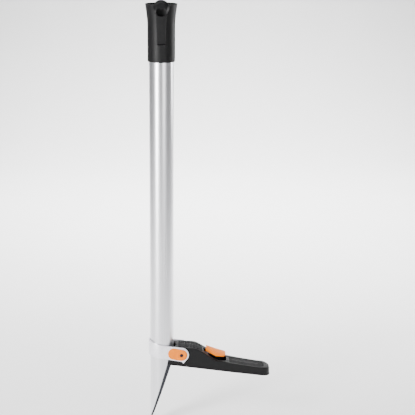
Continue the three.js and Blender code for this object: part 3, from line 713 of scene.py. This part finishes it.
def makeShell():
    # outside from the seam up, over the rounded edge to the spine, then the same inside it
    wall = pedal["wall"]
    side = [(0, 0, 0, 0.5), (0, 0, 0.12, 0), (0, 0, 0.3, 0), (0, 0, 0.5, 0), (0, 0, 0.7, 0)]
    top = [(pedal["round"], draw, 1, 0) for draw in (0.06, 0.14, 0.3, 0.6, 1)]
    inner = [(pedal["round"], draw, 1, -wall) for draw in (1, 0.6, 0.3, 0.14)]
    inside = [(wall, 0, 0.94, -wall), (wall, 0, 0.5, -wall * 0.5), (wall, 0, 0, 0.3), (wall, 0, 0, 0),
              (0.5, 0, 0, 0)]
    profile = side + roundOver(pedal["round"]) + top + inner + inside
    grid = plateLoops(pedalLoop, profile, lambda x: soleHeight(x) + pedal["seam"], crownHeight, (50, 250))
    return newPiece("pedal_shell_moulded", noseShift(grid), closeRows=True)


def roundedBox(place, inset=0.0, grow=0.0):
    # a rectangle with round corners: half of it, front to tail on the near side, and then its mirror image
    inset = inset - grow
    x0, x1, half = place["x0"] + inset, place["x1"] - inset, place["half"] - inset
    corner, tailCorner = (max(place[k] - inset, 0.3) for k in ("corner", "tailCorner"))
    turn = np.linspace(0, np.pi / 2, 9)
    front = np.stack([x0 + corner - corner * np.cos(turn), -(half - corner) - corner * np.sin(turn)], axis=-1)
    back = np.stack([x1 - tailCorner + tailCorner * np.sin(turn),
                     tailCorner - half - tailCorner * np.cos(turn)], axis=-1)
    start = np.stack([np.full(6, x0), np.linspace(0, -(half - corner), 7)[:-1]], axis=-1)
    between = np.linspace(x0 + corner, x1 - tailCorner, 110)[1:-1]
    side = np.stack([between, np.full(len(between), -half)], axis=-1)
    end = np.stack([np.full(6, x1), np.linspace(-(half - tailCorner), 0, 7)[1:]], axis=-1)
    return closedLoop(np.concatenate([start, front, side, back, end]))


frontPad = {"x0": 42.0, "x1": 103.5, "half": 24.0, "corner": 5.0, "tailCorner": 5.0, "sink": 1.5,
            "pitch": 9.0, "rise": 1.2}
tailPad = {"x0": 173.0, "x1": 263.0, "half": 21.0, "corner": 3.0, "tailCorner": 17.0, "sink": 1.2}
button = {"plan": [(112, 7), (138, 18), (159.5, 18), (164, 12)], "edge": 1.0,
          "pocket": [(106.2, 8), (132, 19), (160.6, 19), (165.4, 12.6)],
          "foot": -12.0, "footShare": (0.5, 0.3), "hem": [(63.4, 8.4), (88.6, 1.2), (110.5, 2.6)],
          "wall": 2.2, "middle": 88.0, "near": 61.9, "far": 87.2, "height": 21.2, "fall": 0.3246,
          "hollow": 0.0032, "crown": 0.006}


def hexOutline(points, rounding):
    # six straight sides, joined by parabolas (1-t)^2 start + 2t(1-t) corner + t^2 end
    ring = np.array([(x, -y) for x, y in points] + [(x, y) for x, y in points[::-1]], float)
    before = np.roll(ring, 1, axis=0) - ring
    after = np.roll(ring, -1, axis=0) - ring
    before /= np.linalg.norm(before, axis=1, keepdims=True)
    after /= np.linalg.norm(after, axis=1, keepdims=True)
    t = np.linspace(0, 1, 9)[None, :, None]
    start, end = ring + before * rounding, ring + after * rounding
    bend = (1 - t) ** 2 * start[:, None] + 2 * t * (1 - t) * ring[:, None] + t ** 2 * end[:, None]
    reach = (np.roll(start, -1, axis=0) - end)[:, None]
    straight = end[:, None] + reach * np.linspace(0, 1, 14)[None, 1:-1, None]
    return np.concatenate([bend, straight], axis=1).reshape(-1, 2)


def padCutter(name, place):
    # a block of the mat's outline, a little larger, that reaches down into the pedal's top
    profile = [(0, 1, 1, 12), (0, 0, 1, 12), (0, 0, 1, -place["sink"]), (0.5, 0.02, 1, -place["sink"]),
               (0.5, 0.4, 1, -place["sink"]), (0.5, 1, 1, -place["sink"])]
    spine = (place["x0"] + place["corner"] + 2, place["x1"] - place["tailCorner"] - 2)
    grid = plateLoops(lambda inset: roundedBox(place, inset, 0.3), profile, crownHeight, crownHeight, spine)
    return newPiece(name, grid)


def boxShape(name, x0, x1, y0, y1, z0, z1):
    # a four-sided tool shape for cutting
    ring = np.array([(x0, y0), (x1, y0), (x1, y1), (x0, y1)], float)
    middle = np.repeat(ring.mean(axis=0)[None], 4, axis=0)
    rows = [np.column_stack([flat, np.full(4, z)])
            for flat, z in ((middle, z0), (ring, z0), (ring, z1), (middle, z1))]
    return newPiece(name, np.stack(rows))


def upright(name, x, y, radius, low, high, count=40):
    # an upright round rod for cutting
    angle = np.linspace(0, 2 * np.pi, count, endpoint=False)
    ringX, ringY = radius * np.cos(angle), radius * np.sin(angle)
    rows = [np.stack([x + s * ringX, y + s * ringY, np.full(count, z)], axis=-1)
            for s, z in ((0, low), (1, low), (1, high), (0, high))]
    return newPiece(name, np.stack(rows))


def pocketCutter():
    # the button's pocket goes right through the pedal's top
    loop = hexOutline(button["pocket"], 2.0)
    centre = loop.mean(axis=0)
    rows = [np.column_stack([centre + (loop - centre) * s, np.full(len(loop), z)])
            for s, z in ((0, 144), (1, 144), (1, 205), (0, 205))]
    return newPiece("pocket", np.stack(rows))


def makePedal():
    # the shell with its mat seats, the button's pocket and the way for the lever at the front
    shell = makeShell()
    leverWay = boxShape("leverWay", 0, 60, -24.3, 24.3, 130, 164.9)
    combine(shell, [padCutter("padSeat", frontPad), padCutter("tailSeat", tailPad), pocketCutter(), leverWay],
            "DIFFERENCE")
    finishPiece(shell, "pedal", nylon, ["pedal_shell"], 34)


def makeTread():
    # a mat whose top carries rounded ribs across it, fading out at its rim
    def ribbed(x):
        phase = (x - frontPad["x0"]) / frontPad["pitch"]
        wave = 0.5 - 0.5 * np.cos(2 * np.pi * phase)
        return crownHeight(x) + frontPad["rise"] * smoothStep(0.18, 0.62, wave)

    seat = 0.3 - frontPad["sink"]
    edge = [(0, 0, 0, seat), (0, 0, 0, -0.3), (0.15, 0, 0, -0.05), (0.5, 0, 0, 0.1), (1.6, 0, 0, 0.12),
            (2.0, 0, 0.5, 0.06), (2.4, 0, 0.9, 0), (3.0, 0, 1, 0)]
    top = [(3.0, draw, 1, 0) for draw in (0.08, 0.2, 0.35, 0.5, 0.65, 0.8, 1)]
    under = [(0.5, draw, 0, seat) for draw in (1, 0.5, 0)]
    spine = (frontPad["x0"] + 4.5, frontPad["x1"] - 4.5)
    profile = edge + top + under
    grid = plateLoops(lambda inset: roundedBox(frontPad, inset), profile, crownHeight, ribbed, spine)
    piece = newPiece("tread_mat", grid, closeRows=True)
    finishPiece(piece, "pedal", rubber, ["tread_pad"], 50)


def makeTailMat():
    # a flat mat with a raised, softly rounded rim
    seat = 0.3 - tailPad["sink"]
    edge = [(0, 0, 0, seat), (0, 0, 0, 0.0), (0.3, 0, 0, 0.35), (0.8, 0, 0, 0.5), (1.8, 0, 0, 0.5),
            (2.3, 0, 0, 0.35), (2.7, 0, 0, 0.1), (3.2, 0, 0, 0.05)]
    top = [(3.2, draw, 0, 0.05) for draw in (0.1, 0.4, 0.7, 1)]
    under = [(0.5, draw, 0, seat) for draw in (1, 0.5, 0)]
    spine = (tailPad["x0"] + 8, tailPad["x1"] - 20)
    profile = edge + top + under
    grid = plateLoops(lambda inset: roundedBox(tailPad, inset), profile, crownHeight, crownHeight, spine)
    piece = newPiece("tail_mat", grid, closeRows=True)
    finishPiece(piece, "pedal", rubber, ["tail_pad"], 50)


screwPlaces = [(84, 14), (84, -14), (186, 14), (186, -14), (240, 13), (240, -13)]
sole = {"thick": 2.8, "lip": 1.0, "front": 20.4, "bore": 2.4, "sink": 4.6, "sinkDepth": 1.8}


def makeBase():
    # a sole plate that follows the pedal's outline with a small rounded lip
    thick = sole["thick"]
    profile = [(4, 1, 0, 0), (4, 0.5, 0, 0), (4, 0.05, 0, 0), (1.2, 0, 0, 0), (0.55, 0, 0, 0.18),
               (0.15, 0, 0, 0.6), (0, 0, 0, 1.2), (0, 0, 0, thick - 0.8), (0.2, 0, 0, thick - 0.25),
               (0.7, 0, 0, thick), (4, 0.05, 0, thick), (4, 0.5, 0, thick), (4, 1, 0, thick)]
    grid = plateLoops(lambda inset: pedalLoop(inset - sole["lip"], sole["front"]), profile,
                      soleHeight, soleHeight, (40, 250))
    plate = newPiece("sole_plate", grid)
    cutters = [boxShape("noseSlot", 0, 36, -24.3, 24.3, 130, 160)]
    for i, (x, y) in enumerate(screwPlaces):
        cutters.append(upright(f"sink{i}", x, y, sole["sink"], 100, float(soleHeight(x)) + sole["sinkDepth"]))
    cutters += [upright(f"bore{i}", x, y, sole["bore"], 100, 170) for i, (x, y) in enumerate(screwPlaces)]
    combine(plate, cutters, "DIFFERENCE")
    finishPiece(plate, "pedal", nylon, ["base_plate"], 34)


makePedal()
makeTread()
makeTailMat()
makeBase()
print("pedal made")


def onSlide(grid):
    # from the sliding line's own axes, away from the pivot, across and square to it, to mm above the tip
    away = -np.array(slide["axis"])
    up = np.array([-away[2], 0, away[0]])
    pivot = np.array([pivotX, 0, pivotZ])
    return pivot + grid[..., :1] * away + grid[..., 1:2] * [0, 1, 0] + grid[..., 2:] * up


def makeButton():
    # a six-sided hollow cap with a rounded edge; its height falls with the distance r from the pivot,
    # by a line, a slight parabola along r and another across it
    away = -slide["axis"][0]
    plan = [((x - pivotX) * away + 0.2, y) for x, y in button["plan"]]
    loop = hexOutline(plan, 1.5)
    normal = outwardNormals(loop)
    centre = np.array([button["middle"], 0])

    def top(flat):
        near, far = flat[:, 0] - button["near"], flat[:, 0] - button["far"]
        line = button["height"] - button["fall"] * near
        return line + button["hollow"] * near * far - button["crown"] * flat[:, 1] ** 2

    def ring(inset, drop, shrink=1.0):
        flat = centre + (loop - normal * inset - centre) * shrink
        return np.column_stack([flat, top(flat) - drop])

    def hem(inset, lift):
        flat = loop - normal * inset
        return np.column_stack([flat, np.interp(flat[:, 0], *np.array(button["hem"]).T) + lift])

    edge, wall = button["edge"], button["wall"]
    turn = np.linspace(0, np.pi / 2, 7)
    rows = [hem(wall, 0.4), hem(1.8, 0), hem(0.6, 0.12), hem(0.2, 0.5), hem(0, 1.2)]
    rows += [ring(edge * (1 - math.cos(a)), edge * (1 - math.sin(a))) for a in turn]
    rows += [ring(edge, 0, s) for s in (0.9, 0.75, 0.5, 0.25, 0)]
    rows += [ring(wall, 2.4, s) for s in (0, 0.5, 0.8, 1)]
    piece = newPiece("slide_button", onSlide(np.stack(rows)), closeRows=True)
    finishPiece(piece, "lock", orange, ["lock_button"], 40)

    # the foot that joins the cap to the bolt goes down inside the pocket; it is given black as painted shade,
    # so that the gap under the cap reads dark
    def foot(shrink, height):
        flat = centre + (loop - centre) * np.array(button["footShare"]) * shrink
        return np.column_stack([flat, top(flat) - 2.5 if height is None else np.full(len(loop), height)])

    low = button["foot"]
    rows = [foot(0, low), foot(1, low), foot(1, 0), foot(1, None), foot(0.5, None), foot(0, None)]
    piece = newPiece("slide_foot_painted_shade", onSlide(np.stack(rows)))
    # black nylon here stands in for the shade in the gap under the cap: painted shade
    finishPiece(piece, "lock", nylon, [], 40)


makeButton()
print("button made")


jaw = {"gap": 0.5, "thick": 2.0, "start": 0.7, "top": 156.0, "flangeTop": 9.0, "flangeTip": 3.8,
       "bend": 1.6}


def onCut(along, across, out):
    # from a length up the cut, a distance across and a distance out of it, to mm above the tip
    length = math.hypot(1, tube["slope"])
    x = -tubeRadius + tube["land"] + (along + out * tube["slope"]) / length
    z = (along * tube["slope"] - out) / length
    return np.stack([x, across, z], axis=-1)


def cutHalf(along):
    # half the width of the cut at a length up it, where the tube's circle meets the slant
    x = -tubeRadius + tube["land"] + along / math.hypot(1, tube["slope"])
    return np.sqrt(np.maximum(tubeRadius ** 2 - x ** 2, 0))


def makeJaw():
    # a tray section, flange, round bend, floor, bend and flange, carried up the cut and tapering to the tip
    t = np.linspace(0, 1, 90)
    along = jaw["start"] + (jaw["top"] - jaw["start"]) * (1 - np.cos(t * np.pi / 2))
    half = cutHalf(along) + 0.2
    deep = jaw["flangeTip"] + (jaw["flangeTop"] - jaw["flangeTip"]) * along / jaw["top"]
    low, thick = jaw["gap"], jaw["thick"]
    bend = np.linspace(0, np.pi / 2, 6)
    rows = []

    def row(across, out):
        rows.append(onCut(along, across, low + out))

    for a in bend:
        row(half - jaw["bend"] * (1 - np.sin(a)), jaw["bend"] * (1 - np.cos(a)) + 0 * half)
    row(half, deep - 0.4)
    row(half - 0.4, deep)
    row(half - thick + 0.4, deep)
    row(half - thick, deep - 0.4)
    row(half - thick, thick + 0.8 + 0 * half)
    row(half - thick - 0.8, thick + 0 * half)
    right = rows[::-1]
    left = [r * [1, -1, 1] for r in rows]
    grid = np.stack(right + left, axis=1)
    closing = (grid + grid[:, ::-1])[[0, -1]] / 2
    piece = newPiece("jaw_tray", np.concatenate([closing[:1], grid, closing[1:]]))
    finishPiece(piece, "pedal", steel, ["jaw_plate"], 40)


makeJaw()
print("jaw made")


carried = {
    "grip_screw": zinc, "strap_rivet_1": silver, "strap_rivet_2": silver, "pivot_pin": zinc,
    "pivot_bolt": zinc, "pivot_sleeve": steel, "lock_quadrant": zinc, "jaw_lever": steel,
    "bushing_near": bearing, "bushing_far": bearing, "return_spring": steel, "lock_guide": bearing,
    "lock_detent": steel, "lock_bolt": zinc, "lock_screw": zinc,
}
carried.update({f"base_screw_{i}": zinc for i in range(1, 7)})
carried.update({f"jaw_rivet_{i}": zinc for i in range(1, 5)})
for node, material in carried.items():
    mesh = frame["nodes"][node].data
    mesh.materials.clear()
    mesh.materials.append(material)
print("carried nodes finished")


stageLook = {"floorDrop": 22.0, "floor": "#f6f6f6", "world": 0.2}


def makeFloor():
    # a wide sheet that runs back level and then curves up far behind, by a quarter circle
    across = np.linspace(-9000, 9000, 13)
    curve, radius, level = np.linspace(0.1, np.pi / 2, 16), 1500, 3200
    run = np.concatenate([np.linspace(-9000, level, 20), level + radius * np.sin(curve)])
    rise = np.concatenate([np.zeros(20), radius * (1 - np.cos(curve))])
    run, rise = np.append(run, run[-1]), np.append(rise, 7000)
    x, y = np.meshgrid(across, run)
    z = np.repeat(rise[:, None], len(across), axis=1) - stageLook["floorDrop"]
    floor = newPiece("studio_floor", np.stack([x, y, z], axis=-1), closeCols=False)
    material, tree, shader, place = newFinish("pale_paper_sweep")
    mottle(tree, shader, place, stageLook["floor"], "#f8f8f8", 400)
    shader.inputs["Roughness"].default_value = 0.9
    floor.data.materials.append(material)
    floor.data.shade_smooth()


def areaLight(name, place, target, size, power, spread=math.pi):
    # a flat light at a place in metres, turned to a target
    data = bpy.data.lights.new(name, "AREA")
    data.shape = "RECTANGLE"
    data.size, data.size_y = size
    data.energy = power
    data.spread = spread
    lamp = bpy.data.objects.new(name, data)
    lamp.location = place
    lamp.rotation_euler = (Vector(target) - Vector(place)).to_track_quat("-Z", "Y").to_euler()
    bpy.context.scene.collection.objects.link(lamp)


def makeLights():
    # a tall key from the left, a soft fill, a strip for the right edges, one overhead, one behind
    world = bpy.data.worlds.new("studio")
    world.use_nodes = True
    shade = world.node_tree.nodes["Background"]
    shade.inputs["Color"].default_value = hexColour("#f2f3f5")
    shade.inputs["Strength"].default_value = stageLook["world"]
    bpy.context.scene.world = world
    middle = (0, 0, -0.5)
    areaLight("key", (-1.8, -1.9, 0.2), middle, (0.8, 2.4), 165)
    areaLight("fill", (1.1, -2.5, 0.2), middle, (1.2, 2.2), 34)
    areaLight("edge", (1.75, 0.9, -0.05), (0, 0, -0.1), (0.35, 1.0), 20)
    areaLight("top", (-0.2, 0.2, 2.2), (-0.1, -0.3, -1), (1.2, 1.2), 40)
    areaLight("backdrop", (0.3, 2.4, 1.7), (0.3, 2.5, -1.07), (2.4, 2.0), 190, 1.9)


view = {"distance": 3014.0, "height": 1296.0, "pitch": 13.8, "yaw": 2.18, "roll": 0.4, "lens": 107.566}


def makeCamera():
    # stands higher than the grip, looks down, and is turned a little so that the tube is left of centre
    data = bpy.data.cameras.new("camera")
    data.sensor_width = 36
    data.lens = view["lens"]
    data.clip_end = 60
    camera = bpy.data.objects.new("camera", data)
    yaw, pitch, roll = (math.radians(view[k]) for k in ("yaw", "pitch", "roll"))
    tilt = Matrix.Rotation(math.pi / 2 - pitch, 4, "X")
    turn = Matrix.Rotation(-yaw, 4, "Z") @ tilt @ Matrix.Rotation(roll, 4, "Z")
    place = Vector((0, -view["distance"], view["height"] - tipDrop)) / 1000
    camera.matrix_world = Matrix.Translation(place) @ turn
    bpy.context.scene.collection.objects.link(camera)
    bpy.context.scene.camera = camera


makeFloor()
makeLights()
makeCamera()
print("floor, light and camera made")
